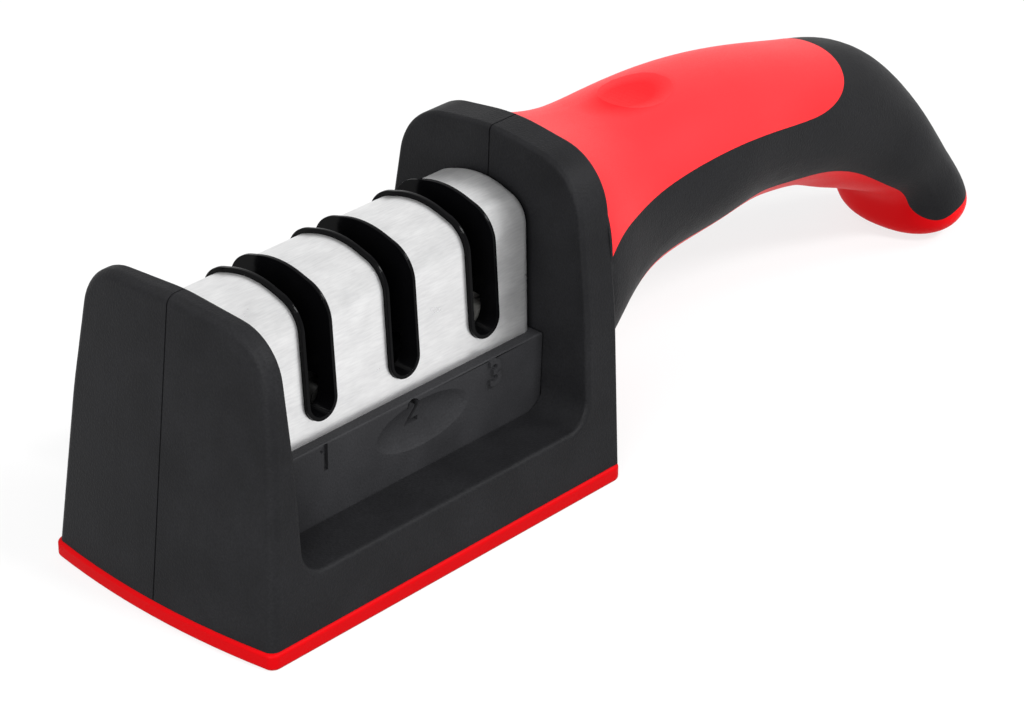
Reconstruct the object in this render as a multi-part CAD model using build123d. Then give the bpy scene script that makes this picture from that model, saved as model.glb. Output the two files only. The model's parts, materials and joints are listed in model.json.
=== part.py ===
from build123d import *

import os
from math import cos, pi, radians, sin, tan

# Three-stage pull-through knife sharpener with a lift-out sharpening cartridge.
#
# Millimetres, +Z up. X runs along the sharpener, from the front pillar (-X) to the
# handle (+X), and the knife slots run along Y. The origin is on the flat resting
# face of the sole, midway between the front corners and the back of the arch.

# Body along X: pillar, bay with the three slots, arch
PILLAR_THICKNESS = 8.0      # at the sole
FRONT_SLOT_MARGIN = 16.25   # pillar to the middle of the first slot
SLOT_PITCH = 18.45
REAR_SLOT_MARGIN = 11.45    # middle of the last slot to the arch, at the shelf
ARCH_THICKNESS = 7.1        # at the shelf
FRONT_BOW = 2.1             # how far the front face bulges between its corners
FRONT_LEAN = 6.0            # how far the front face leans back over its height
ARCH_FRONT_LEAN = 2.2       # how far the arch's front leans back from shelf to top
ARCH_BACK_LEAN = 1.8        # how far the arch's back leans back from sole to top

# Body across Y and up Z
BASE_HALF_WIDTH = 25.0      # half width of the body at the sole
SIDE_TAPER = 2.0            # how far each side comes in up to the waist
WAIST_HEIGHT = 31.0
SIDE_BEND_RADIUS = 70.0     # soft bend of the sides at the waist
SHELF_HEIGHT = 12.8         # top of the tray beside the cartridge
PILLAR_HEIGHT = 54.6
PILLAR_SHOULDER_INSET = 2.9  # from the waist to the shoulder
PILLAR_CROWN = 1.3          # rise of the top from shoulder to middle
PILLAR_CORNER = 9.0
ARCH_HEIGHT = 59.0
ARCH_SHOULDER_INSET = 3.6
ARCH_CROWN = 2.6
ARCH_CORNER = 11.0
TOP_BEND_RADIUS = 40.0      # soft bend in the middle of both tops
SHELF_BLEND = 4.5           # hollow fillet from the shelf up to pillar and arch
FACE_EDGE = 1.8             # rounding round the front face
BAY_EDGE = 0.9              # rounding of the edges that face the cartridge
ARCH_REAR_EDGE = 0.6        # rounding of the edge behind the arch

# Sole and base plate
SOLE_RIM_HEIGHT = 3.0
SOLE_PROUD = 0.45           # how far the rim stands out past the shells
SOLE_FLOOR = 1.6
SOLE_EDGE = 0.7
PLATE_THICKNESS = 2.6
PLATE_INSET = 2.2           # edge of the base plate inside the shells' outline
PLATE_FIT = 0.1

# Handle
ROOT_INSET = 1.3            # side of the handle's root inside the waist
ROOT_DEPTH = 1.1            # how far the root reaches into the arch
GRIP_THICKNESS = 2.0
SECTION_POINTS = 24

# Cartridge
CART_CLEARANCE = 0.35       # between the cartridge and the well round it
CART_SEAT = 0.3             # height of the cartridge above the well floor
CART_BASE_THICKNESS = 2.6
SKIRT_TOP = 26.3
SKIRT_LEDGE = 2.0           # ledge beside the steel cover
SKIRT_WALL = 2.0
SKIRT_EDGE = 0.4
RAIL_DROP = 4.3             # rails for the slot guides below the skirt's top
RAIL_THICKNESS = 2.0
LIP_HEIGHT = 2.0            # lip that centres the steel cover
LIP_THICKNESS = 0.65
LIP_GAP = 0.3               # between the lip and the inside of the cover
DISH_OFFSET = 1.8           # middle of the thumb dish behind the middle slot
DISH_DROP = 5.1             # middle of the dish below the skirt's top
DISH_HALF_LENGTH = 10.5
DISH_HALF_HEIGHT = 4.2
DISH_DEPTH = 0.9
DISH_BALL = 2.7             # radius across the skirt of the ball that forms the dish

# Steel cover
COVER_HALF_WIDTH = 11.7     # at its bottom edge
COVER_TAPER = 1.5           # how far each side comes in up to the shoulder
COVER_RISE = 25.6           # from the skirt's top to the crown
COVER_CROWN = 3.2           # from the shoulder to the crown
COVER_CORNER = 5.5
COVER_CROWN_RADIUS = 16.0
COVER_END_EDGE = 2.0
COVER_END_GAP = 0.3         # the cover ends this far inside the skirt
STEEL = 0.6

# Knife slots
SLOT_CLEAR = 5.2
SLOT_SILL = 1.0             # steel between the lip and the bottom of a slot
EDGE_RISE = 2.3             # resting place of a knife's edge above the slot's bottom
LINER_WALL = 0.65
LINER_PROUD = 0.7
LINER_FIT = 0.05            # between a liner and the edge of the steel
GUIDE_FIT = 0.15            # between the guides' plates and the lip
GUIDE_PLATE = 1.7           # thickness of the plates that hold the axles
GUIDE_EDGE = 3.0            # plate beyond an axle's hole
WINDOW_GAP = 0.6            # between the wheels and the liner above them

# Wheels on their axles
WHEEL_RADIUS = 4.0
SHARPENING_HALF_ANGLE = 20.0
AXLE_RADIUS = 1.0
AXLE_FIT = 0.03
WHEEL_BORE_CLEARANCE = 0.06
DISC_THICKNESS = 1.6
DISC_GAP = 0.3              # between neighbouring discs of the two stacks
DISCS_PER_WHEEL = 4
HUB_RADIUS = 2.4
WHEEL_END_GAP = 0.3

# Carbide blades
BLADE_THICKNESS = 1.6
BLADE_WIDTH = 4.5
BLADE_ABOVE = 2.5           # length above the crossing point
BLADE_GAP = 0.1
BLADE_EDGE = 0.4
BLADE_HOLE_INSET = 1.7
BLADE_PIN_RADIUS = 0.9
HOLDER_HALF_LENGTH = 7.0
HOLDER_SEAT = 1.0           # how far the holder's foot rests on each rail
HOLDER_CHEEK = 3.2          # thickness of each cheek
HOLDER_BASE = 1.2
HOLDER_DROP = 1.4           # top of the cheeks below the knife's edge

# Fasteners and locating pins
SCREW_RADIUS = 1.3
SCREW_HEAD_RADIUS = 2.6
SCREW_HEAD_HEIGHT = 1.8
SCREW_HEAD_EDGE = 0.6
SCREW_FIT = 0.05
DRIVE_LENGTH = 3.4
DRIVE_WIDTH = 1.0
DRIVE_DEPTH = 0.9
BASE_SCREW_LENGTH = 9.0
BASE_SCREW_END_INSET = 3.0  # from the ends of the base plate
BASE_SCREW_SIDE_INSET = 4.4
CART_SCREW_LENGTH = 8.0
BOSS_RADIUS = 3.2
BOSS_OVERLAP = 0.8          # how far a boss runs into the walls beside it
CASE_SCREW_HEAD_Y = 7.0
CASE_SCREW_RISE = 4.7       # lowest case screws above the shelf
CASE_SCREW_REACH = 8.0      # how far a case screw reaches past the seam
CASE_SCREW_ROOM = 0.2       # round a screw head in its counterbore
PILLAR_SCREW_INSET = 3.2    # from the pillar's face in the bay
PILLAR_PIN_HEIGHT = 34.0
ARCH_PIN_HEIGHT = 44.0
CASE_PIN_RADIUS = 1.6
CASE_PIN_LENGTH = 3.0

PAST = 1.0                  # how far a cutting block reaches past what it cuts

# Places that follow from the sizes above
BAY_LENGTH = FRONT_SLOT_MARGIN + 2 * SLOT_PITCH + REAR_SLOT_MARGIN
BODY_BACK = (PILLAR_THICKNESS + BAY_LENGTH + ARCH_THICKNESS) / 2
BODY_FRONT = -BODY_BACK
PILLAR_REAR = BODY_FRONT + PILLAR_THICKNESS
ARCH_FRONT = BODY_BACK - ARCH_THICKNESS
SLOT_XS = [PILLAR_REAR + FRONT_SLOT_MARGIN + SLOT_PITCH * step for step in range(3)]
WAIST_HALF_WIDTH = BASE_HALF_WIDTH - SIDE_TAPER
ROOT_HALF_WIDTH = WAIST_HALF_WIDTH - ROOT_INSET
SKIRT_HALF_WIDTH = COVER_HALF_WIDTH + SKIRT_LEDGE
RAIL_TOP = SKIRT_TOP - RAIL_DROP
RAIL_BOTTOM = RAIL_TOP - RAIL_THICKNESS
LIP_TOP = SKIRT_TOP + LIP_HEIGHT
LIP_INNER = COVER_HALF_WIDTH - STEEL - LIP_GAP - LIP_THICKNESS
COVER_TOP = SKIRT_TOP + COVER_RISE
LINER_HALF_WIDTH = SLOT_CLEAR / 2 + LINER_WALL
SLOT_BOTTOM = LIP_TOP + SLOT_SILL
KNIFE_EDGE = SLOT_BOTTOM + EDGE_RISE
HALF_ANGLE = radians(SHARPENING_HALF_ANGLE)
AXLE_OFFSET = WHEEL_RADIUS * cos(HALF_ANGLE)
AXLE_HEIGHT = KNIFE_EDGE - WHEEL_RADIUS * sin(HALF_ANGLE)
WINDOW_TOP = AXLE_HEIGHT + WHEEL_RADIUS + WINDOW_GAP
PLATE_OUTER = LIP_INNER - GUIDE_FIT
PLATE_INNER = PLATE_OUTER - GUIDE_PLATE
GUIDE_HALF_LENGTH = AXLE_OFFSET + AXLE_RADIUS + GUIDE_EDGE
HOLDER_HALF_WIDTH = PLATE_INNER - PLATE_FIT
HOLDER_FLOOR = RAIL_TOP + HOLDER_BASE
HOLDER_CHEEK_INNER = 2 * BLADE_GAP + BLADE_THICKNESS
HOLDER_CHEEK_OUTER = HOLDER_CHEEK_INNER + HOLDER_CHEEK
RAIL_INNER = HOLDER_HALF_WIDTH - HOLDER_SEAT
CART_BOTTOM = SOLE_FLOOR + PLATE_THICKNESS + CART_SEAT
CART_FLOOR = CART_BOTTOM + CART_BASE_THICKNESS
BASE_SCREW_X = BODY_BACK - PLATE_INSET - BASE_SCREW_END_INSET
BASE_SCREW_Y = BASE_HALF_WIDTH - PLATE_INSET - BASE_SCREW_SIDE_INSET
CASE_SCREW_HEIGHT = SHELF_HEIGHT + CASE_SCREW_RISE


def arch_front_at(z):
    """X of the arch's face towards the cartridge at height z."""
    return ARCH_FRONT + ARCH_FRONT_LEAN * (z - SHELF_HEIGHT) / (ARCH_HEIGHT - SHELF_HEIGHT)


def arch_back_at(z):
    """X of the arch's back at height z."""
    return BODY_BACK + ARCH_BACK_LEAN * (z - SOLE_RIM_HEIGHT) / (ARCH_HEIGHT - SOLE_RIM_HEIGHT)


def arch_middle_at(z):
    """X halfway through the arch at height z."""
    return (arch_front_at(z) + arch_back_at(z)) / 2


class Station:
    """One section of the handle: distance behind the arch, height, forward tilt, half sizes."""

    def __init__(self, behind, z, tilt, half_height, half_width, squareness):
        self.x = BODY_BACK + behind
        self.z = z
        self.tilt = radians(tilt)
        self.half_height = half_height
        self.half_width = half_width
        self.squareness = squareness

    def section(self, inset):
        """Rounded section face across the handle, shrunk by inset."""
        half_height = self.half_height - inset
        half_width = self.half_width - inset
        points = []
        for step in range(SECTION_POINTS):
            angle = 2 * pi * step / SECTION_POINTS - pi / 2
            spread = (abs(cos(angle) / half_width) ** self.squareness
                      + abs(sin(angle) / half_height) ** self.squareness)
            reach = spread ** (-1 / self.squareness)
            up = reach * sin(angle)
            points.append((self.x - up * sin(self.tilt), reach * cos(angle),
                           self.z + up * cos(self.tilt)))
        return Face(Wire(Spline(*points, periodic=True)))

    def end_plane(self, inset):
        """Plane across the handle, this far in front of the station."""
        along = Vector(cos(self.tilt), 0, sin(self.tilt))
        return Plane(origin=Vector(self.x, 0, self.z) - along * inset, z_dir=along)


HANDLE = [
    Station(-ROOT_DEPTH, 35.0, 0, 22.9, ROOT_HALF_WIDTH, 3.0),
    Station(4.4, 35.8, 0, 19.7, ROOT_HALF_WIDTH - 0.3, 2.8),
    Station(10.4, 36.9, 0, 17.0, ROOT_HALF_WIDTH - 2.1, 2.6),
    Station(18.4, 37.9, 0, 14.8, ROOT_HALF_WIDTH - 4.2, 2.4),
    Station(28.4, 38.8, 0, 14.4, 16.2, 2.3),
    Station(42.4, 39.1, -2, 14.3, 15.4, 2.2),
    Station(52.0, 38.8, -5, 13.6, 14.3, 2.2),
    Station(62.0, 37.3, -10, 13.1, 13.5, 2.2),
    Station(72.8, 34.8, -16, 12.9, 13.2, 2.2),
    Station(83.0, 31.2, -24, 13.4, 12.8, 2.2),
    Station(90.0, 27.1, -32, 12.3, 12.8, 2.2),
    Station(97.4, 21.4, -40, 10.1, 13.3, 2.2),
    Station(105.2, 13.4, -48, 8.0, 13.0, 2.3),
    Station(110.2, 5.5, -52, 8.1, 13.3, 2.3),
    Station(112.6, 4.1, -52, 5.8, 11.7, 2.3),
    Station(113.4, 3.4, -52, 3.2, 8.1, 2.3),
]
SCREWED_STATIONS = (HANDLE[4], HANDLE[7])
PINNED_STATIONS = (HANDLE[5], HANDLE[9])

# Lower edge of the top grip, as (distance behind the arch, height), to its rounded end
TOP_GRIP_EDGE = [(0.3, 38.8), (4.2, 42.3), (10.5, 43.2), (27.0, 43.9), (42.8, 43.7),
                 (60.0, 41.2), (70.6, 40.9), (75.6, 42.8), (79.0, 48.5)]
# Upper edge of the underside grip, from the arch round the heel
LOWER_GRIP_EDGE = [(7.0, 24.0), (14.0, 29.2), (24.0, 30.2), (40.4, 29.6), (51.3, 30.3),
                   (61.0, 28.6), (70.0, 27.3), (81.6, 22.9), (91.7, 16.6), (99.6, 10.2),
                   (102.4, 6.4), (104.4, 5.7), (107.5, 6.6), (111.4, 7.8), (117.4, 12.5)]


def block(x0, x1, y0, y1, z0, z1):
    """Box between two corners."""
    return Pos((x0 + x1) / 2, (y0 + y1) / 2, (z0 + z1) / 2) * Box(x1 - x0, y1 - y0, z1 - z0)


def prism_along_x(points, radii, x0, x1):
    """Extrude a symmetric outline, given by its right half as (y, z), along X."""
    across = points + [(-y, z) for y, z in reversed(points[:-1])]
    outline = FilletPolyline(*[(x0, y, z) for y, z in across], radius=radii + radii[-2::-1])
    face = make_face(outline.edges() + [Line(outline @ 1, outline @ 0)])
    return extrude(face, x1 - x0, dir=(1, 0, 0))


def prism_along_y(edges, half_width):
    """Extrude a closed outline of edges in the XZ plane equally to both sides of the seam."""
    return extrude(make_face(edges), half_width, dir=(0, 1, 0), both=True)


def polygon_along_y(points, half_width):
    """Extrude a straight-sided outline, given as (x, z), to both sides of the seam."""
    outline = Polyline(*[(x, 0, z) for x, z in points], close=True)
    return prism_along_y(outline.edges(), half_width)


def cylinder_along_y(x, z, radius, y0, y1):
    """Round bar along Y."""
    return Pos(x, (y0 + y1) / 2, z) * Rot(90, 0, 0) * Cylinder(radius, abs(y1 - y0))


def cylinder_up(x, y, radius, z0, z1):
    """Round bar along Z."""
    return Pos(x, y, (z0 + z1) / 2) * Cylinder(radius, z1 - z0)


# ---- Body shells -----------------------------------------------------------

def body_section(shoulder_inset, height, crown, corner, x0, x1):
    """Length of the body with its tapered sides, waist bend, shoulders and crown."""
    points = [
        (BASE_HALF_WIDTH, SOLE_RIM_HEIGHT),
        (WAIST_HALF_WIDTH, WAIST_HEIGHT),
        (WAIST_HALF_WIDTH - shoulder_inset, height - crown),
        (0, height),
    ]
    return prism_along_x(points, [SIDE_BEND_RADIUS, corner, TOP_BEND_RADIUS], x0, x1)


def plan_face(grow):
    """Plan of the body with its bowed front, grown outwards by grow."""
    front = BODY_FRONT - grow
    back = BODY_BACK + grow
    half = BASE_HALF_WIDTH + grow
    bow = ThreePointArc((front, half), (front - FRONT_BOW, 0), (front, -half))
    rest = Polyline((front, -half), (back, -half), (back, half), (front, half))
    return make_face(bow + rest)


def upper_edges(face):
    """Edges of an upright face, without the one at the sole."""
    return face.edges().filter_by(lambda e: e.center().Z > SOLE_RIM_HEIGHT + FACE_EDGE)


def make_pillar():
    """Front pillar with a bowed face that leans back."""
    section = body_section(PILLAR_SHOULDER_INSET, PILLAR_HEIGHT, PILLAR_CROWN, PILLAR_CORNER,
                           BODY_FRONT - FRONT_BOW - PAST, PILLAR_REAR)
    lean = Vector(FRONT_LEAN, 0, PILLAR_HEIGHT - SOLE_RIM_HEIGHT)
    leaning = Pos(0, 0, SOLE_RIM_HEIGHT) * extrude(plan_face(0), lean.length, dir=lean)
    pillar = section & leaning
    front_face = pillar.faces().sort_by(lambda f: f.center().X)[0]
    return fillet(upper_edges(front_face), FACE_EDGE)


def make_arch():
    """Arch that carries the handle; its front and its back lean back."""
    section = body_section(ARCH_SHOULDER_INSET, ARCH_HEIGHT, ARCH_CROWN, ARCH_CORNER,
                           PILLAR_REAR, BODY_BACK + ARCH_BACK_LEAN + PAST)
    above = ARCH_HEIGHT + PAST
    arch = section & polygon_along_y([
        (arch_front_at(SOLE_RIM_HEIGHT), SOLE_RIM_HEIGHT),
        (BODY_BACK, SOLE_RIM_HEIGHT),
        (arch_back_at(above), above),
        (arch_front_at(above), above),
    ], BASE_HALF_WIDTH + PAST)
    back_face = arch.faces().sort_by(lambda f: f.center().X)[-1]
    return fillet(upper_edges(back_face), ARCH_REAR_EDGE)


def make_tray():
    """Low tray between pillar and arch, with its sides flush with theirs."""
    section = body_section(ARCH_SHOULDER_INSET, ARCH_HEIGHT, ARCH_CROWN, ARCH_CORNER,
                           PILLAR_REAR, ARCH_FRONT)
    half = BASE_HALF_WIDTH + PAST
    return section & block(PILLAR_REAR, ARCH_FRONT, -half, half, SOLE_RIM_HEIGHT, SHELF_HEIGHT)


def bay_faces(body):
    """Faces that look into the bay of the cartridge."""
    slack = SHELF_BLEND / 10
    return body.faces().filter_by(lambda f: PILLAR_REAR - slack < f.center().X < BODY_BACK - slack
                                  and f.center().Z > SHELF_HEIGHT - slack
                                  and abs(f.center().Y) < slack)


def outline_edges(faces):
    """Edges that belong to only one of the faces."""
    edges = [edge for face in faces for edge in face.edges()]
    return [edge for edge in edges if sum(edge == other for other in edges) == 1]


def make_body():
    """Pillar, tray and arch in one, with the well for the cartridge."""
    body = make_pillar() + make_tray() + make_arch()
    half = SKIRT_HALF_WIDTH + CART_CLEARANCE
    corners = body.edges().filter_by(lambda e: abs(e.center().Z - SHELF_HEIGHT) < SOLE_EDGE
                                     and e.bounding_box().size.X < SOLE_EDGE
                                     and e.length > 2 * half)
    body = fillet(corners, SHELF_BLEND)
    rim = [e for e in outline_edges(bay_faces(body)) if e.center().Z > SOLE_RIM_HEIGHT + SOLE_EDGE]
    body = fillet(rim, BAY_EDGE)
    well = polygon_along_y([
        (PILLAR_REAR, SOLE_RIM_HEIGHT),
        (arch_front_at(SOLE_RIM_HEIGHT), SOLE_RIM_HEIGHT),
        (arch_front_at(SKIRT_TOP), SKIRT_TOP),
        (PILLAR_REAR, SKIRT_TOP),
    ], half)
    plate_seat = Pos(0, 0, SOLE_FLOOR) * extrude(plan_face(-PLATE_INSET), PLATE_THICKNESS)
    return body - well - plate_seat


def handle_form():
    """Smooth outside of the handle through all its stations."""
    return loft([station.section(0) for station in HANDLE])


def handle_core():
    """Hard core of the handle under the soft grips."""
    core = loft([station.section(GRIP_THICKNESS) for station in HANDLE])
    return split(core, bisect_by=HANDLE[-1].end_plane(GRIP_THICKNESS), keep=Keep.BOTTOM)


def behind_arch():
    """Everything behind the arch's back, along the handle."""
    below = -GRIP_THICKNESS
    above = ARCH_HEIGHT + HANDLE[0].half_height
    far = HANDLE[-1].x + HANDLE[0].half_height
    return polygon_along_y([(arch_back_at(below), below), (far, below), (far, above),
                            (arch_back_at(above), above)], BASE_HALF_WIDTH)


def grip_room(edge_points, height):
    """Room of a soft grip, from its edge seen from the side up or down to a height."""
    places = [(BODY_BACK + behind, z) for behind, z in edge_points]
    edge = Spline(*[(x, 0, z) for x, z in places])
    far = places[-1][0] + GRIP_THICKNESS
    rest = Polyline(edge @ 1, (far, 0, places[-1][1]), (far, 0, height),
                    (places[0][0], 0, height), edge @ 0)
    return prism_along_y(edge.edges() + rest.edges(), BASE_HALF_WIDTH) & behind_arch()


def make_handle():
    """Hard handle and its two soft grips, let in flush."""
    form = handle_form()
    core = handle_core()
    top_room = grip_room(TOP_GRIP_EDGE, ARCH_HEIGHT + GRIP_THICKNESS)
    lower_room = grip_room(LOWER_GRIP_EDGE, -GRIP_THICKNESS)
    hard = form - top_room - lower_room + core
    return hard, (form & top_room) - core, (form & lower_room) - core


def case_screw_places():
    """Places (x, z) of the screws that clamp the shells together."""
    places = [(PILLAR_REAR - PILLAR_SCREW_INSET, CASE_SCREW_HEIGHT),
              (arch_middle_at(CASE_SCREW_HEIGHT), CASE_SCREW_HEIGHT)]
    return places + [(station.x, station.z) for station in SCREWED_STATIONS]


def case_pin_places():
    """Places (x, z) of the pins that line the shells up."""
    places = [(PILLAR_REAR - PILLAR_SCREW_INSET, PILLAR_PIN_HEIGHT),
              (arch_middle_at(ARCH_PIN_HEIGHT), ARCH_PIN_HEIGHT)]
    return places + [(station.x, station.z) for station in PINNED_STATIONS]


def case_screw_room(x, z):
    """Bore and counterbore of one case screw, entered from the left side."""
    seat = CASE_SCREW_HEAD_Y - SCREW_HEAD_HEIGHT
    end = -CASE_SCREW_REACH - SCREW_FIT
    bore = cylinder_along_y(x, z, SCREW_RADIUS + SCREW_FIT, end, seat)
    return bore + cylinder_along_y(x, z, SCREW_HEAD_RADIUS + CASE_SCREW_ROOM, seat,
                                   BASE_HALF_WIDTH + PAST)


def make_shells(body, handle):
    """Left and right shell, split at the seam, with screw bores and locating pins."""
    whole = body + handle
    for x, z in case_screw_places():
        whole -= case_screw_room(x, z)
    bore_top = SOLE_FLOOR + SCREW_HEAD_HEIGHT + BASE_SCREW_LENGTH + SCREW_FIT
    for x, y in base_screw_places():
        whole -= cylinder_up(x, y, SCREW_RADIUS + SCREW_FIT, SOLE_FLOOR, bore_top)
    left = split(whole, bisect_by=Plane.XZ, keep=Keep.BOTTOM)
    right = split(whole, bisect_by=Plane.XZ, keep=Keep.TOP)
    for x, z in case_pin_places():
        left -= cylinder_along_y(x, z, CASE_PIN_RADIUS + SCREW_FIT, 0, CASE_PIN_LENGTH + SCREW_FIT)
        right += cylinder_along_y(x, z, CASE_PIN_RADIUS, -CASE_PIN_LENGTH, CASE_PIN_LENGTH)
    return left, right


def base_screw_places():
    """Places (x, y) of the four base screws."""
    return [(x, y) for x in (-BASE_SCREW_X, BASE_SCREW_X) for y in (-BASE_SCREW_Y, BASE_SCREW_Y)]


def make_screw(length):
    """Screw pointing down, with the underside of its head at the origin."""
    on_seat = (Align.CENTER, Align.CENTER, Align.MIN)
    hanging = (Align.CENTER, Align.CENTER, Align.MAX)
    head = Cylinder(SCREW_HEAD_RADIUS, SCREW_HEAD_HEIGHT, align=on_seat)
    head = chamfer(head.edges().group_by(Axis.Z)[-1], SCREW_HEAD_EDGE)
    shank = Cylinder(SCREW_RADIUS, length, align=hanging)
    bar = Pos(0, 0, SCREW_HEAD_HEIGHT) * Box(DRIVE_LENGTH, DRIVE_WIDTH, DRIVE_DEPTH, align=hanging)
    return head + shank - bar - Rot(0, 0, 90) * bar


def make_case_screws():
    """Screws that clamp the two shells together, heads to the left."""
    seat = CASE_SCREW_HEAD_Y - SCREW_HEAD_HEIGHT
    screw = Rot(-90, 0, 0) * make_screw(seat + CASE_SCREW_REACH)
    return Compound(children=[Pos(x, seat, z) * screw for x, z in case_screw_places()])


def make_base_screws():
    """Screws that hold the base plate, heads down under the sole."""
    screw = Rot(180, 0, 0) * make_screw(BASE_SCREW_LENGTH)
    seat = SOLE_FLOOR + SCREW_HEAD_HEIGHT
    return Compound(children=[Pos(x, y, seat) * screw for x, y in base_screw_places()])


# ---- Sole and base plate -----------------------------------------------------

def make_sole():
    """Soft sole whose rim shows as a line round the foot of the body."""
    sole = extrude(plan_face(SOLE_PROUD), SOLE_RIM_HEIGHT)
    sole = fillet(sole.edges().filter_by(Axis.Z), FACE_EDGE)
    rims = sole.edges().filter_by(Axis.Z, reverse=True)
    sole = fillet(rims, SOLE_EDGE)
    pocket = Pos(0, 0, SOLE_FLOOR) * extrude(plan_face(-PLATE_INSET), SOLE_RIM_HEIGHT)
    return sole - pocket


def screw_holes(places, bottom, top):
    """Counterbored holes of screws that come from below through a plate."""
    holes = [cylinder_up(x, y, SCREW_HEAD_RADIUS + SCREW_FIT, bottom, bottom + SCREW_HEAD_HEIGHT)
             for x, y in places]
    return holes + [cylinder_up(x, y, SCREW_RADIUS + SCREW_FIT, bottom, top) for x, y in places]


def make_base_plate():
    """Stiff plate that closes the shells from below and floors the well."""
    plate = Pos(0, 0, SOLE_FLOOR) * extrude(plan_face(-PLATE_INSET - PLATE_FIT), PLATE_THICKNESS)
    return plate - screw_holes(base_screw_places(), SOLE_FLOOR, SOLE_FLOOR + PLATE_THICKNESS)


# ---- Cartridge ---------------------------------------------------------------

def cartridge_block(inset, half_width, z0, z1):
    """Block that fills the bay between pillar and arch, shrunk at its ends by inset."""
    front = PILLAR_REAR + CART_CLEARANCE + inset
    back = CART_CLEARANCE + inset
    return polygon_along_y([
        (front, z0),
        (arch_front_at(z0) - back, z0),
        (arch_front_at(z1) - back, z1),
        (front, z1),
    ], half_width)


def thumb_dish(side):
    """Shallow oval dish in the skirt, on the side given by its sign."""
    share = (1 - (1 - DISH_DEPTH / DISH_BALL) ** 2) ** 0.5
    ball = scale(Sphere(1), by=(DISH_HALF_LENGTH / share, DISH_BALL, DISH_HALF_HEIGHT / share))
    return Pos(SLOT_XS[1] + DISH_OFFSET, side * (SKIRT_HALF_WIDTH + DISH_BALL - DISH_DEPTH),
               SKIRT_TOP - DISH_DROP) * ball


def cart_boss_places():
    """Places (x, y) of the screw bosses in the cartridge."""
    inset = SKIRT_WALL + BOSS_RADIUS - BOSS_OVERLAP
    front = PILLAR_REAR + CART_CLEARANCE + inset
    back = ARCH_FRONT - CART_CLEARANCE - inset
    y = SKIRT_HALF_WIDTH - inset
    return [(x, sign * y) for x in (front, back) for sign in (-1, 1)]


def make_housing():
    """Skirted housing with rails for the slot guides and a lip for the cover."""
    housing = cartridge_block(0, SKIRT_HALF_WIDTH, CART_FLOOR, SKIRT_TOP)
    housing = fillet(housing.faces().sort_by(Axis.Z)[-1].edges(), SKIRT_EDGE)
    lip_inset = COVER_END_GAP + STEEL + LIP_GAP
    lip = cartridge_block(lip_inset, LIP_INNER + LIP_THICKNESS, RAIL_TOP, LIP_TOP)
    corners = lip.edges().filter_by(lambda e: e.bounding_box().size.Z > LIP_HEIGHT)
    housing += fillet(corners, COVER_END_EDGE - STEEL)
    housing -= cartridge_block(SKIRT_WALL, SKIRT_HALF_WIDTH - SKIRT_WALL, CART_FLOOR, RAIL_BOTTOM)
    housing -= cartridge_block(SKIRT_WALL, RAIL_INNER, RAIL_BOTTOM, RAIL_TOP)
    housing -= cartridge_block(lip_inset + LIP_THICKNESS, LIP_INNER, RAIL_TOP, LIP_TOP)
    bore_end = CART_BOTTOM + SCREW_HEAD_HEIGHT + CART_SCREW_LENGTH + SCREW_FIT
    for x, y in cart_boss_places():
        housing += cylinder_up(x, y, BOSS_RADIUS, CART_FLOOR, RAIL_BOTTOM)
        housing -= cylinder_up(x, y, SCREW_RADIUS + SCREW_FIT, CART_FLOOR, bore_end)
    return housing - thumb_dish(-1) - thumb_dish(1)


def make_cartridge_base():
    """Floor of the cartridge, screwed on from below."""
    floor = cartridge_block(0, SKIRT_HALF_WIDTH, CART_BOTTOM, CART_FLOOR)
    return floor - screw_holes(cart_boss_places(), CART_BOTTOM, CART_FLOOR)


def make_cartridge_screws():
    """Screws that hold the cartridge floor, heads down."""
    screw = Rot(180, 0, 0) * make_screw(CART_SCREW_LENGTH)
    seat = CART_BOTTOM + SCREW_HEAD_HEIGHT
    return Compound(children=[Pos(x, y, seat) * screw for x, y in cart_boss_places()])


def cover_prism(grow, x0, x1):
    """Outline of the steel cover, grown outwards by grow, run along X."""
    points = [
        (COVER_HALF_WIDTH + grow, SKIRT_TOP),
        (COVER_HALF_WIDTH - COVER_TAPER + grow, COVER_TOP - COVER_CROWN + grow),
        (0, COVER_TOP + grow),
    ]
    return prism_along_x(points, [COVER_CORNER + grow, COVER_CROWN_RADIUS + grow], x0, x1)


def cover_form(inset):
    """Steel cover as a solid, shrunk by inset, with rounded ends."""
    length = cartridge_block(COVER_END_GAP + inset, COVER_HALF_WIDTH, SKIRT_TOP, COVER_TOP + PAST)
    form = cover_prism(-inset, PILLAR_REAR, BODY_BACK) & length
    ends = form.faces().sort_by(lambda f: f.center().X)
    edges = [e for face in (ends[0], ends[-1]) for e in face.edges() if e.center().Z > LIP_TOP]
    return fillet(edges, COVER_END_EDGE - inset)


def slot_prism(x, half_width):
    """Knife slot with a round bottom, open at the top, run through along Y."""
    centre = SLOT_BOTTOM + LINER_HALF_WIDTH
    reach = SKIRT_HALF_WIDTH
    tube = cylinder_along_y(x, centre, half_width, -reach, reach)
    above = COVER_TOP + LINER_PROUD + PAST
    return tube + block(x - half_width, x + half_width, -reach, reach, centre, above)


def make_steel_cover():
    """Bent steel cover with its three knife slots."""
    cover = cover_form(0) - cover_form(STEEL)
    for x in SLOT_XS:
        cover -= slot_prism(x, LINER_HALF_WIDTH + LINER_FIT)
    return cover


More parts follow.
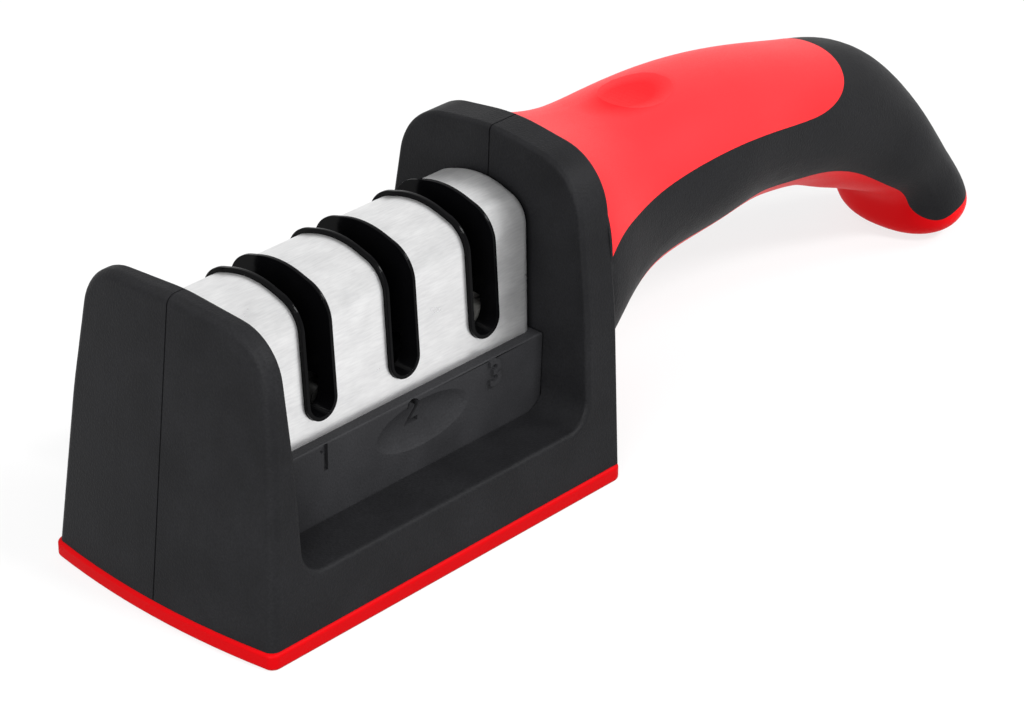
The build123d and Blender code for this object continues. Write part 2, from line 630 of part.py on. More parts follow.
def make_slot_guide(x, holds_axles):
    """Liner of one knife slot, with the two plates that hold what sharpens."""
    half = LINER_HALF_WIDTH
    guide = slot_prism(x, half) & cover_prism(LINER_PROUD, x - half, x + half)
    guide -= block(x - half, x + half, -PLATE_INNER, PLATE_INNER, SKIRT_TOP, WINDOW_TOP)
    for low, high in ((PLATE_INNER, PLATE_OUTER), (-PLATE_OUTER, -PLATE_INNER)):
        guide += block(x - GUIDE_HALF_LENGTH, x + GUIDE_HALF_LENGTH, low, high, RAIL_TOP, WINDOW_TOP)
    guide -= slot_prism(x, SLOT_CLEAR / 2)
    if holds_axles:
        for side in (-1, 1):
            guide -= cylinder_along_y(x + side * AXLE_OFFSET, AXLE_HEIGHT, AXLE_RADIUS + AXLE_FIT,
                                      -PLATE_OUTER, PLATE_OUTER)
    return guide


# ---- Wheels and blades -------------------------------------------------------

def make_wheel(x, mirrored):
    """Hub with spaced discs that fit between the discs of its twin."""
    half = PLATE_INNER - WHEEL_END_GAP
    pitch = 2 * (DISC_THICKNESS + DISC_GAP)
    first = -pitch * (DISCS_PER_WHEEL - 0.5) / 2
    wheel = cylinder_along_y(0, 0, HUB_RADIUS, -half, half)
    for step in range(DISCS_PER_WHEEL):
        middle = first + pitch * step
        wheel += cylinder_along_y(0, 0, WHEEL_RADIUS, middle - DISC_THICKNESS / 2,
                                  middle + DISC_THICKNESS / 2)
    wheel -= cylinder_along_y(0, 0, AXLE_RADIUS + WHEEL_BORE_CLEARANCE, -half, half)
    if mirrored:
        wheel = Rot(0, 0, 180) * wheel
    return Pos(x, 0, AXLE_HEIGHT) * wheel


def make_axle(x):
    """Steel pin that one wheel turns on."""
    return cylinder_along_y(x, AXLE_HEIGHT, AXLE_RADIUS, -PLATE_OUTER, PLATE_OUTER)


def make_blade(x, side):
    """Carbide blade that crosses its twin; side says which way its top leans."""
    drop = KNIFE_EDGE - HOLDER_FLOOR - BLADE_GAP - BLADE_WIDTH * sin(HALF_ANGLE)
    below = drop / cos(HALF_ANGLE)
    plate = block(0, BLADE_WIDTH, BLADE_GAP, BLADE_GAP + BLADE_THICKNESS, -below, BLADE_ABOVE)
    plate = chamfer(plate.edges().filter_by(Axis.Z).sort_by(Axis.X)[:2], BLADE_EDGE)
    hole_z = -BLADE_HOLE_INSET / tan(HALF_ANGLE)
    plate -= cylinder_along_y(BLADE_HOLE_INSET, hole_z, BLADE_PIN_RADIUS + AXLE_FIT, 0, BLADE_WIDTH)
    plate = Rot(0, SHARPENING_HALF_ANGLE, 0) * plate
    if side < 0:
        plate = Rot(0, 0, 180) * plate
    return Pos(x, 0, KNIFE_EDGE) * plate


def blade_pin_height():
    """Height of the pin that goes through both blades."""
    return KNIFE_EDGE - BLADE_HOLE_INSET / sin(HALF_ANGLE)


def make_blade_holder(x):
    """Saddle that clamps the crossed blades between two cheeks."""
    front = x - HOLDER_HALF_LENGTH
    back = x + HOLDER_HALF_LENGTH
    top = KNIFE_EDGE - HOLDER_DROP
    holder = block(front, back, -HOLDER_HALF_WIDTH, HOLDER_HALF_WIDTH, RAIL_TOP, HOLDER_FLOOR)
    holder += block(front, back, HOLDER_CHEEK_INNER, HOLDER_CHEEK_OUTER, HOLDER_FLOOR, top)
    holder += block(front, back, -HOLDER_CHEEK_OUTER, -HOLDER_CHEEK_INNER, HOLDER_FLOOR, top)
    return holder - cylinder_along_y(x, blade_pin_height(), BLADE_PIN_RADIUS + AXLE_FIT,
                                     -HOLDER_CHEEK_OUTER, HOLDER_CHEEK_OUTER)


def make_blade_pin(x):
    """Pin through the blades and the holder."""
    return cylinder_along_y(x, blade_pin_height(), BLADE_PIN_RADIUS,
                            -HOLDER_CHEEK_OUTER, HOLDER_CHEEK_OUTER)


# ---- Assembly ----------------------------------------------------------------

def build_parts():
    """All pieces by node name."""
    handle, top_grip, lower_grip = make_handle()
    left, right = make_shells(make_body(), handle)
    parts = {
        "left_shell": left,
        "right_shell": right,
        "top_grip": top_grip,
        "lower_grip": lower_grip,
        "case_screws": make_case_screws(),
        "base_screws": make_base_screws(),
        "sole": make_sole(),
        "base_plate": make_base_plate(),
        "cartridge_housing": make_housing(),
        "cartridge_base": make_cartridge_base(),
        "cartridge_screws": make_cartridge_screws(),
        "steel_cover": make_steel_cover(),
    }
    for number, x in enumerate(SLOT_XS, start=1):
        parts[f"slot_guide_{number}"] = make_slot_guide(x, holds_axles=number != 2)
    for stage, x in (("diamond", SLOT_XS[0]), ("ceramic", SLOT_XS[2])):
        for place, side in (("front", -1), ("rear", 1)):
            centre = x + side * AXLE_OFFSET
            parts[f"{stage}_wheel_{place}"] = make_wheel(centre, mirrored=side > 0)
            parts[f"{stage}_axle_{place}"] = make_axle(centre)
    blades_x = SLOT_XS[1]
    parts["carbide_blade_front"] = make_blade(blades_x, side=-1)
    parts["carbide_blade_rear"] = make_blade(blades_x, side=1)
    parts["blade_holder"] = make_blade_holder(blades_x)
    parts["blade_pin"] = make_blade_pin(blades_x)
    return parts


def main():
    """Write one STEP file per node."""
    os.makedirs("parts", exist_ok=True)
    for name, shape in build_parts().items():
        export_step(shape, f"parts/{name}.step")


if __name__ == "__main__":
    main()
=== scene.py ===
import json
import logging
import math
from contextlib import contextmanager
from dataclasses import dataclass
from enum import Enum
from typing import Callable, Iterator

import bpy
from mathutils import Matrix, Vector


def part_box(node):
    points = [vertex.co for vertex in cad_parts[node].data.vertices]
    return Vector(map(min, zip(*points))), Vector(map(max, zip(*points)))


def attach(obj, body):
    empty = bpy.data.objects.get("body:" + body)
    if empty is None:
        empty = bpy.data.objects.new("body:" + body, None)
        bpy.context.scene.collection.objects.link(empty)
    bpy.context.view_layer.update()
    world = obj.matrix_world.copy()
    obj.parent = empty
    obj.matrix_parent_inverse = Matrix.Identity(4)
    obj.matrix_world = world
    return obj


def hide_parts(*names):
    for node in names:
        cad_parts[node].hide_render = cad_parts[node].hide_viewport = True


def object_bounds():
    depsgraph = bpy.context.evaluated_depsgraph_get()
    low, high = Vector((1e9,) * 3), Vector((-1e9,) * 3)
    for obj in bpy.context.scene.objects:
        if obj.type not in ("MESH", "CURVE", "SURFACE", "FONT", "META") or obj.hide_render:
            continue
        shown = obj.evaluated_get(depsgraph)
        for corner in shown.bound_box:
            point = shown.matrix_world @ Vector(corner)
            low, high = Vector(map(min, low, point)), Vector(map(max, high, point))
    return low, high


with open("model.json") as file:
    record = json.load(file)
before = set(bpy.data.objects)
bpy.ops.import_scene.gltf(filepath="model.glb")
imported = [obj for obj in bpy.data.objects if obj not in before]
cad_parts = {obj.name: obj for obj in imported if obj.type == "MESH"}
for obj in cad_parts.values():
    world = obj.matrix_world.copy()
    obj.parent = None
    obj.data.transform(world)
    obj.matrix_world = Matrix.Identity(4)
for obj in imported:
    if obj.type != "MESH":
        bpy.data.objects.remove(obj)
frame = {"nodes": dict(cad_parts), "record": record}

Triple = tuple[float, float, float]
Colour = tuple[float, float, float]
Span = tuple[float, float]
EdgeTest = Callable[[Vector, Vector], bool]

LOG = logging.getLogger("sharpener")
CAD_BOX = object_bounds()
MM = 0.001
MERGE_DISTANCE = 0.001 * MM
FLAT_ANGLE = math.radians(0.2)
SMOOTH_ANGLE = math.radians(32.0)
FOLD_ANGLE = math.radians(40.0)
QUARTER_TURN = math.pi / 2
ROUND_PROFILE = 0.5
FLAT_CORNERS = 6  # a face with more corners is one of the flats
NOISE_BAND: Span = (0.3, 0.7)  # most values of a noise lie between these


# ---------------------------------------------------------------- workbench

def deselect_all() -> None:
    """Leave object mode selections empty."""
    for item in bpy.context.selected_objects:
        item.select_set(False)


def make_active(piece: bpy.types.Object) -> None:
    """Select one object alone and make it active.

    Args:
        piece: The object.
    """
    deselect_all()
    piece.select_set(True)
    bpy.context.view_layer.objects.active = piece


@contextmanager
def editing(piece: bpy.types.Object, mode: str = "VERT") -> Iterator[None]:
    """Edit mode on one object, in a select mode of vertices, edges or faces.

    Args:
        piece: The object to edit.
        mode: VERT, EDGE or FACE.
    """
    make_active(piece)
    bpy.ops.object.mode_set(mode="EDIT")
    bpy.ops.mesh.select_mode(type=mode)
    yield
    bpy.ops.object.mode_set(mode="OBJECT")


def clear_marks(mesh: bpy.types.Mesh) -> None:
    """Unselect every vertex, edge and face of a mesh."""
    for group in (mesh.vertices, mesh.edges, mesh.polygons):
        group.foreach_set("select", [False] * len(group))


def sharp_edges(mesh: bpy.types.Mesh, least_angle: float) -> set[int]:
    """Indices of the edges that fold by more than an angle.

    Args:
        mesh: Mesh with shared vertices.
        least_angle: Smallest fold, in radians.

    Returns:
        The indices of those edges.
    """
    normals: dict[tuple[int, int], list[Vector]] = {}
    for polygon in mesh.polygons:
        for key in polygon.edge_keys:
            normals.setdefault(key, []).append(polygon.normal)
    found = set()
    for index, edge in enumerate(mesh.edges):
        sides = normals.get(tuple(sorted(edge.vertices)), [])
        if len(sides) == 2 and sides[0].angle(sides[1], 0.0) > least_angle:
            found.add(index)
    return found


def round_folds(piece: bpy.types.Object, wanted: EdgeTest, width: float, segments: int) -> None:
    """Round the folded edges that pass a test.

    Args:
        piece: Object to change.
        wanted: Test of an edge's two end points, in metres.
        width: Width of the rounding, in metres.
        segments: Facets across it.
    """
    mesh = piece.data
    folded = sharp_edges(mesh, FOLD_ANGLE)
    clear_marks(mesh)
    for index in folded:
        start, end = (mesh.vertices[corner] for corner in mesh.edges[index].vertices)
        if wanted(start.co, end.co):
            mesh.edges[index].select = start.select = end.select = True
    with editing(piece, "EDGE"):
        bpy.ops.mesh.bevel(offset=width, segments=segments, profile=ROUND_PROFILE, clamp_overlap=True)


def copy_of_node(node: str, name: str) -> bpy.types.Object:
    """Working copy of a CAD node, with its corners merged and its flats made whole.

    Args:
        node: Name of the CAD node.
        name: Name of the new piece.

    Returns:
        The new object, at the origin.
    """
    mesh = frame["nodes"][node].data.copy()
    mesh.materials.clear()
    piece = bpy.data.objects.new(name, mesh)
    bpy.context.scene.collection.objects.link(piece)
    with editing(piece):
        bpy.ops.mesh.select_all(action="SELECT")
        bpy.ops.mesh.remove_doubles(threshold=MERGE_DISTANCE)
        bpy.ops.mesh.customdata_custom_splitnormals_clear()
        bpy.ops.mesh.dissolve_limited(angle_limit=FLAT_ANGLE)
    return piece


def cut_with(piece: bpy.types.Object, cutter: bpy.types.Object) -> None:
    """Cut one object with another and remove the other.

    Args:
        piece: Object to change.
        cutter: Object that is used up.
    """
    make_active(piece)
    modifier = piece.modifiers.new("cut", "BOOLEAN")
    modifier.operation = "DIFFERENCE"
    modifier.solver = "EXACT"
    modifier.object = cutter
    bpy.ops.object.modifier_apply(modifier=modifier.name)
    bpy.data.objects.remove(cutter, do_unlink=True)


def slab(*spans: Span) -> bpy.types.Object:
    """Box between two corners.

    Args:
        spans: Start and end along X, Y and Z, in metres.

    Returns:
        The box, with its place in its mesh.
    """
    deselect_all()
    bpy.ops.mesh.primitive_cube_add(size=1.0)
    box = bpy.context.object
    middle = Vector([(low + high) / 2 for low, high in spans])
    size = Vector([high - low for low, high in spans])
    box.data.transform(Matrix.Translation(middle) @ Matrix.Diagonal(size).to_4x4())
    return box


def smooth(piece: bpy.types.Object) -> None:
    """Smooth shading over all but the sharp folds, with flats kept flat.

    Args:
        piece: Object to shade.
    """
    make_active(piece)
    bpy.ops.object.shade_smooth_by_angle(angle=SMOOTH_ANGLE)
    weights = piece.modifiers.new("weights", "WEIGHTED_NORMAL")
    weights.keep_sharp = True
    for polygon in piece.data.polygons:
        if len(polygon.vertices) > FLAT_CORNERS:
            polygon.use_smooth = False
    bpy.ops.object.modifier_apply(modifier=weights.name)


# ---------------------------------------------------------------- finishes

class NodeSheet:
    """Node tree of one material, with short ways to add and join nodes."""

    def __init__(self, name: str) -> None:
        """Start a material with a bare Principled shader.

        Args:
            name: Name of the material.
        """
        self.material = bpy.data.materials.new(name)
        self.material.use_nodes = True
        self.tree = self.material.node_tree
        self.tree.nodes.clear()
        self.output = self.tree.nodes.new("ShaderNodeOutputMaterial")
        self.shader = self.tree.nodes.new("ShaderNodeBsdfPrincipled")
        self.join(self.shader.outputs["BSDF"], self.output.inputs["Surface"])
        self.place = self.tree.nodes.new("ShaderNodeTexCoord").outputs["Object"]

    def join(self, source: bpy.types.NodeSocket, target: bpy.types.NodeSocket) -> None:
        """Link two sockets."""
        self.tree.links.new(source, target)

    def mapped(self, scale: Triple, shift: Triple = (0.0, 0.0, 0.0)) -> bpy.types.NodeSocket:
        """Object coordinates stretched along the axes and then shifted.

        Args:
            scale: Factors along X, Y and Z.
            shift: What is added to them afterwards.

        Returns:
            The coordinates.
        """
        node = self.tree.nodes.new("ShaderNodeMapping")
        node.inputs["Scale"].default_value = scale
        node.inputs["Location"].default_value = shift
        self.join(self.place, node.inputs["Vector"])
        return node.outputs["Vector"]

    def noise(self, size: float, octaves: float = 2.0, place: bpy.types.NodeSocket | None = None,
              roughness: float = 0.5) -> bpy.types.NodeSocket:
        """Noise with features of about a size.

        Args:
            size: Feature size in metres.
            octaves: How many finer noises lie on it.
            place: Coordinates, or None for Object coordinates.
            roughness: Share of the fine octaves.

        Returns:
            The noise value, 0 to 1.
        """
        node = self.tree.nodes.new("ShaderNodeTexNoise")
        node.inputs["Scale"].default_value = 1.0 / size
        node.inputs["Detail"].default_value = octaves
        node.inputs["Roughness"].default_value = roughness
        self.join(place or self.place, node.inputs["Vector"])
        return node.outputs["Fac"]

    def cells(self, size: float) -> bpy.types.NodeSocket:
        """Distance from the middle of the nearest cell.

        Args:
            size: Size of a cell, in metres.

        Returns:
            The distance, in cells.
        """
        node = self.tree.nodes.new("ShaderNodeTexVoronoi")
        node.inputs["Scale"].default_value = 1.0 / size
        self.join(self.place, node.inputs["Vector"])
        return node.outputs["Distance"]

    def spread(self, value: bpy.types.NodeSocket, source: Span, target: Span) -> bpy.types.NodeSocket:
        """Map a value from one range to another, clamped.

        Args:
            value: The value.
            source: Its range.
            target: The range that it is mapped to.

        Returns:
            The mapped value.
        """
        node = self.tree.nodes.new("ShaderNodeMapRange")
        names = ("From Min", "From Max", "To Min", "To Max")
        for name, number in zip(names, (*source, *target)):
            node.inputs[name].default_value = number
        self.join(value, node.inputs["Value"])
        return node.outputs["Result"]

    def height(self) -> bpy.types.NodeSocket:
        """Height over the ground, in metres.

        Returns:
            The Z coordinate of the object's own coordinates.
        """
        node = self.tree.nodes.new("ShaderNodeSeparateXYZ")
        self.join(self.place, node.inputs["Vector"])
        return node.outputs["Z"]

    def oval(self, place: float, size: Span, edge: Span, inside: float) -> bpy.types.NodeSocket:
        """A value inside an upright oval column and 1 outside it.

        Args:
            place: Middle of the oval along X, in metres.
            size: Half length along X and half width along Y, in metres.
            edge: Where its soft edge starts and ends, as shares of the size.
            inside: Value in the middle.

        Returns:
            The value.
        """
        length, width = size
        reach = self.tree.nodes.new("ShaderNodeVectorMath")
        reach.operation = "LENGTH"
        self.join(self.mapped((1 / length, 1 / width, 0.0), (-place / length, 0.0, 0.0)), reach.inputs[0])
        return self.spread(reach.outputs["Value"], edge, (inside, 1.0))

    def combine(self, first: bpy.types.NodeSocket, second: bpy.types.NodeSocket,
                operation: str = "ADD") -> bpy.types.NodeSocket:
        """Combine two values.

        Args:
            first: One value.
            second: The other value.
            operation: Name of the math operation.

        Returns:
            The result.
        """
        node = self.tree.nodes.new("ShaderNodeMath")
        node.operation = operation
        self.join(first, node.inputs[0])
        self.join(second, node.inputs[1])
        return node.outputs["Value"]

    def blend(self, share: bpy.types.NodeSocket, first: Colour, second: Colour) -> bpy.types.NodeSocket:
        """Mix two colours.

        Args:
            share: Share of the second colour.
            first: Colour at a share of 0.
            second: Colour at a share of 1.

        Returns:
            The mixed colour.
        """
        node = self.tree.nodes.new("ShaderNodeMix")
        node.data_type = "RGBA"
        colours = [socket for socket in node.inputs if socket.type == "RGBA"]
        for socket, colour in zip(colours, (first, second)):
            socket.default_value = (*colour, 1.0)
        self.join(share, node.inputs["Factor"])
        return next(socket for socket in node.outputs if socket.type == "RGBA")

    def bump(self, height: bpy.types.NodeSocket, depth: float) -> None:
        """Bump the surface.

        Args:
            height: Height, 0 to 1.
            depth: What a height of 1 stands for, in metres.
        """
        node = self.tree.nodes.new("ShaderNodeBump")
        node.inputs["Strength"].default_value = 1.0
        node.inputs["Distance"].default_value = depth
        self.join(height, node.inputs["Height"])
        self.feed("Normal", node.outputs["Normal"])

    def feed(self, name: str, value: bpy.types.NodeSocket) -> None:
        """Link a value to one of the shader's sockets."""
        self.join(value, self.shader.inputs[name])

    def set(self, **values: float | Colour) -> None:
        """Set plain values on the shader's own sockets.

        Args:
            values: Values by the socket's name, with _ for spaces.
        """
        for name, value in values.items():
            socket = self.shader.inputs[name.replace("_", " ")]
            socket.default_value = (*value, 1.0) if isinstance(value, tuple) else value


def around(middle: float, below: float, above: float) -> Span:
    """Range round a middle value."""
    return middle - below, middle + above


@dataclass(frozen=True)
class MouldedPlastic:
    """Grained moulded plastic.

    Attributes:
        slot: The record's material slot.
        dark: Colour in the hollows of the grain.
        light: Colour on its high spots.
        roughness: Middle roughness.
        grain: Size of the grain, in metres.
        depth: Height of the grain, in metres.
        specular: Strength of the surface reflection.
        octaves: Octaves of the grain.
        cloud: Size of the uneven patches, in metres.
        polish: How far the roughness falls and rises over them.
    """

    slot: str
    dark: Colour
    light: Colour
    roughness: float
    grain: float
    depth: float
    specular: float
    octaves: float = 3.0
    cloud: float = 9 * MM
    polish: Span = (0.04, 0.05)

    def material(self) -> bpy.types.Material:
        """Build the material.

        Returns:
            The material.
        """
        sheet = NodeSheet(self.slot)
        grain = sheet.noise(self.grain, self.octaves)
        cloud = sheet.noise(self.cloud)
        sheet.feed("Base Color", sheet.blend(sheet.combine(grain, cloud, "MULTIPLY"), self.dark, self.light))
        sheet.feed("Roughness", sheet.spread(cloud, NOISE_BAND, around(self.roughness, *self.polish)))
        sheet.bump(grain, self.depth)
        sheet.set(Specular_IOR_Level=self.specular)
        return sheet.material


@dataclass(frozen=True)
class SoftGrip:
    """Satin soft-touch rubber, deep red below and painted lighter on top as a painted coral sheen, with more
    surface reflection on top.

    Attributes:
        slot: The record's material slot.
        deep: Colour low down.
        bright: Colour on top, with the painted sheen in it.
        roughness: Middle roughness.
        shine: Strength of the surface reflection low down and on top.
        rise: Heights between which the painted sheen in the colour and the shine rise, in metres.
        height_share: Share of the colour's change that comes from the height, which is painted sheen.
        cloud: Size of the uneven patches, in metres.
        octaves: Octaves of the patches.
        grain: Size of the grain, in metres.
        depth: Height of the grain, in metres.
        polish: How far the roughness falls and rises over the grain.
        worn_place: Middle of the painted shade in the thumb scoop along X, in metres.
        worn_size: Its half length and half width, in metres.
        worn_edge: Where its soft edge starts and ends, as shares of the size.
        worn_share: How much of the painted sheen is left in it.
    """

    slot: str
    deep: Colour
    bright: Colour
    roughness: float
    shine: Span
    rise: Span = (22 * MM, 46 * MM)
    height_share: float = 0.86
    cloud: float = 14 * MM
    octaves: float = 3.0
    grain: float = 0.22 * MM
    depth: float = 0.012 * MM
    polish: Span = (0.05, 0.07)
    # Painted shade in the thumb scoop: an oval that keeps less of the painted sheen.
    worn_place: float = 69 * MM
    worn_size: Span = (10.0 * MM, 6.4 * MM)
    worn_edge: Span = (0.55, 1.05)
    worn_share: float = 0.2

    def material(self) -> bpy.types.Material:
        """Build the material.

        Returns:
            The material.
        """
        sheet = NodeSheet(self.slot)
        cloud = sheet.noise(self.cloud, self.octaves)
        grain = sheet.noise(self.grain)
        by_height: Span = (0.0, self.height_share)
        # Painted sheen: the colour gets lighter with height, standing in for the light on top.
        painted_sheen = sheet.spread(sheet.height(), self.rise, by_height)
        # Painted shade: inside the oval of the thumb scoop, less of the painted sheen is kept.
        scoop_shade = sheet.oval(self.worn_place, self.worn_size, self.worn_edge, self.worn_share)
        level = sheet.combine(painted_sheen, scoop_shade, "MULTIPLY")
        patches = sheet.spread(cloud, NOISE_BAND, (0.0, 1.0 - self.height_share))
        sheet.feed("Base Color", sheet.blend(sheet.combine(level, patches), self.deep, self.bright))
        sheet.feed("Specular IOR Level", sheet.spread(level, by_height, self.shine))
        sheet.feed("Roughness", sheet.spread(grain, NOISE_BAND, around(self.roughness, *self.polish)))
        sheet.bump(grain, self.depth)
        return sheet.material


@dataclass(frozen=True)
class BrushedMetal:
    """Metal with fine brushing along X under soft, uneven mottling.

    Attributes:
        slot: The record's material slot.
        dark: Colour in the brush marks and the mottled places.
        light: Colour between them.
        roughness: Middle roughness.
        metallic: Share of mirror-like metal; the rest is its matt brushing.
        stroke: Width of a brush mark, in metres.
        stroke_stretch: Stretching of the brush marks' coordinates.
        stroke_octaves: Octaves of the brush marks.
        stroke_share: Share of the tone that comes from the brush marks.
        depth: Depth of the marks, in metres.
        cloud: Size of the mottling, in metres.
        cloud_stretch: Stretching of the mottling's coordinates.
        cloud_octaves: Octaves of the mottling.
        cloud_roughness: Share of its fine octaves.
        cloud_band: Range of the mottling that changes the roughness.
        polish: How far the roughness falls and rises over it.
    """

    slot: str
    dark: Colour
    light: Colour
    roughness: float
    metallic: float = 1.0
    stroke: float = 0.3 * MM
    stroke_stretch: Triple = (0.12, 1.0, 1.0)
    stroke_octaves: float = 1.0
    stroke_share: float = 0.35
    depth: float = 0.0004 * MM
    cloud: float = 5 * MM
    cloud_stretch: Triple = (0.7, 1.0, 1.0)
    cloud_octaves: float = 4.0
    cloud_roughness: float = 0.6
    cloud_band: Span = (0.2, 0.8)
    polish: Span = (0.05, 0.08)

    def material(self) -> bpy.types.Material:
        """Build the material.

        Returns:
            The material.
        """
        sheet = NodeSheet(self.slot)
        strokes = sheet.noise(self.stroke, self.stroke_octaves, sheet.mapped(self.stroke_stretch))
        cloud = sheet.noise(self.cloud, self.cloud_octaves, sheet.mapped(self.cloud_stretch),
                            self.cloud_roughness)
        tone = sheet.combine(sheet.spread(strokes, NOISE_BAND, (0.0, self.stroke_share)),
                             sheet.spread(cloud, NOISE_BAND, (0.0, 1.0 - self.stroke_share)))
        sheet.feed("Base Color", sheet.blend(tone, self.dark, self.light))
        sheet.feed("Roughness", sheet.spread(cloud, self.cloud_band, around(self.roughness, *self.polish)))
        sheet.bump(strokes, self.depth)
        sheet.set(Metallic=self.metallic)
        return sheet.material


@dataclass(frozen=True)
class GlossPlastic:
    """Polished plastic with a trace of mould flow.

    Attributes:
        slot: The record's material slot.
        colour: Colour of the plastic.
        roughness: Roughness of the polish.
        specular: Strength of the surface reflection.
        flow: Size of the flow marks, in metres.
        depth: Height of the flow marks, in metres.
        lift: How much lighter they are than the rest.
        haze: How much rougher they are.
    """

    slot: str
    colour: Colour
    roughness: float
    specular: float
    flow: float = 3 * MM
    depth: float = 0.02 * MM
    lift: float = 1.6
    haze: float = 0.06

    def material(self) -> bpy.types.Material:
        """Build the material.

        Returns:
            The material.
        """
        sheet = NodeSheet(self.slot)
        flow = sheet.noise(self.flow)
        lighter: Colour = tuple(self.lift * channel for channel in self.colour)
        sheet.feed("Base Color", sheet.blend(flow, self.colour, lighter))
        sheet.feed("Roughness", sheet.spread(flow, NOISE_BAND, around(self.roughness, 0.0, self.haze)))
        sheet.bump(flow, self.depth)
        sheet.set(Specular_IOR_Level=self.specular)
        return sheet.material


@dataclass(frozen=True)
class Grit:
    """Surface of bonded or sintered grains.

    Attributes:
        slot: The record's material slot.
        dark: Colour between the grains.
        light: Colour of the grains.
        roughness: Middle roughness.
        metallic: 1 for a metal bond, 0 for ceramic.
        grain: Size of a grain, in metres.
        reach: Distance from a grain's middle to its rim, in cells.
        polish: How far the roughness falls and rises over a grain.
        relief: Height of a grain, as a share of its size.
    """

    slot: str
    dark: Colour
    light: Colour
    roughness: float
    metallic: float
    grain: float
    reach: float = 0.7
    polish: Span = (0.1, 0.1)
    relief: float = 0.25

    def material(self) -> bpy.types.Material:
        """Build the material.

        Returns:
            The material.
        """
        sheet = NodeSheet(self.slot)
        grains = sheet.cells(self.grain)
        across: Span = (0.0, self.reach)
        sheet.feed("Base Color", sheet.blend(sheet.spread(grains, across, (1.0, 0.0)), self.dark, self.light))
        sheet.feed("Roughness", sheet.spread(grains, across, around(self.roughness, *self.polish)))
        sheet.bump(grains, self.relief * self.grain)
        sheet.set(Metallic=self.metallic)
        return sheet.material


class Finish(Enum):
    """Finishes of the sharpener; the skirt's finish is the cartridge's rougher moulding, painted lighter than
    the body as painted light on the skirt.
    """

    BLACK_BODY = MouldedPlastic("black_body", (0.0055, 0.0055, 0.006), (0.019, 0.0192, 0.021), 0.48,
                                0.36 * MM, 0.09 * MM, 0.055)
    # Lighter colours than the body's: painted light on the cartridge's skirt and ledge; its higher roughness
    # and reflection are its own.
    SKIRT = MouldedPlastic("black_body", (0.012, 0.012, 0.013), (0.038, 0.0384, 0.0415), 0.5,
                           0.36 * MM, 0.08 * MM, 0.08)
    INNER_PLASTIC = MouldedPlastic("inner_plastic", (0.006, 0.006, 0.007), (0.016, 0.016, 0.017), 0.55,
                                   0.5 * MM, 0.03 * MM, 0.1)
    RED_SOLE = SoftGrip("red_sole", (0.38, 0.001, 0.0024), (0.46, 0.0032, 0.0056), 0.45, (0.03, 0.05))
    RED_GRIP = SoftGrip("red_grip", (0.7, 0.002, 0.005), (0.8, 0.017, 0.022), 0.42, (0.03, 0.26))
    SCREW_STEEL = BrushedMetal("screw_steel", (0.42, 0.42, 0.42), (0.62, 0.62, 0.6), 0.32)
    BRUSHED_COVER = BrushedMetal("brushed_cover", (0.74, 0.74, 0.745), (0.97, 0.97, 0.97), 0.3, 0.62)
    GLOSS_LINER = GlossPlastic("gloss_liner", (0.0012, 0.0012, 0.0014), 0.09, 0.045)
    # The grit wheels are darker than their own colour: painted shade for the inside of the slots, the white
    # ceramic most of all.
    DIAMOND_GRIT = Grit("diamond_grit", (0.06, 0.06, 0.058), (0.17, 0.17, 0.164), 0.5, 1.0, 0.09 * MM)
    WHITE_CERAMIC = Grit("white_ceramic", (0.26, 0.255, 0.24), (0.4, 0.395, 0.375), 0.6, 0.0, 0.12 * MM)
    CARBIDE = BrushedMetal("carbide", (0.2, 0.2, 0.21), (0.34, 0.34, 0.35), 0.3)


class Paintbox:
    """Makes each finish once and hands it out."""

    def __init__(self) -> None:
        """Start with no material made."""
        self.made: dict[Finish, bpy.types.Material] = {}

    def get(self, finish: Finish) -> bpy.types.Material:
        """The material of a finish.

        Args:
            finish: The finish.

        Returns:
            Its material, made at the first call.
        """
        if finish not in self.made:
            self.made[finish] = finish.value.material()
        return self.made[finish]

    def paint(self, piece: bpy.types.Object, finish: Finish) -> None:
        """Give an object one finish all over.

        Args:
            piece: The object.
            finish: The finish.
        """
        material = self.get(finish)
        if not piece.material_slots:
            piece.data.materials.append(material)
        for slot in piece.material_slots:
            slot.material = material


@dataclass
class Assembly:
    """Sub-assembly that shares the paintbox and the way a piece joins the frame."""

    paints: Paintbox

    def join_frame(self, piece: bpy.types.Object, body: str, finish: Finish, node: str) -> None:
        """Paint a finished piece, let it ride on a body and stand for its CAD node.

        Args:
            piece: The new piece.
            body: CAD body that it moves with.
            finish: Its finish.
            node: CAD node that it replaces.
        """
        self.paints.paint(piece, finish)
        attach(piece, body)
        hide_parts(node)
        LOG.info("%s rides on %s: %d faces", piece.name, body, len(piece.data.polygons))


# ---------------------------------------------------------------- body

class Side(Enum):
    """Sides of the sharpener, by their direction along Y."""

    LEFT = 1
    RIGHT = -1


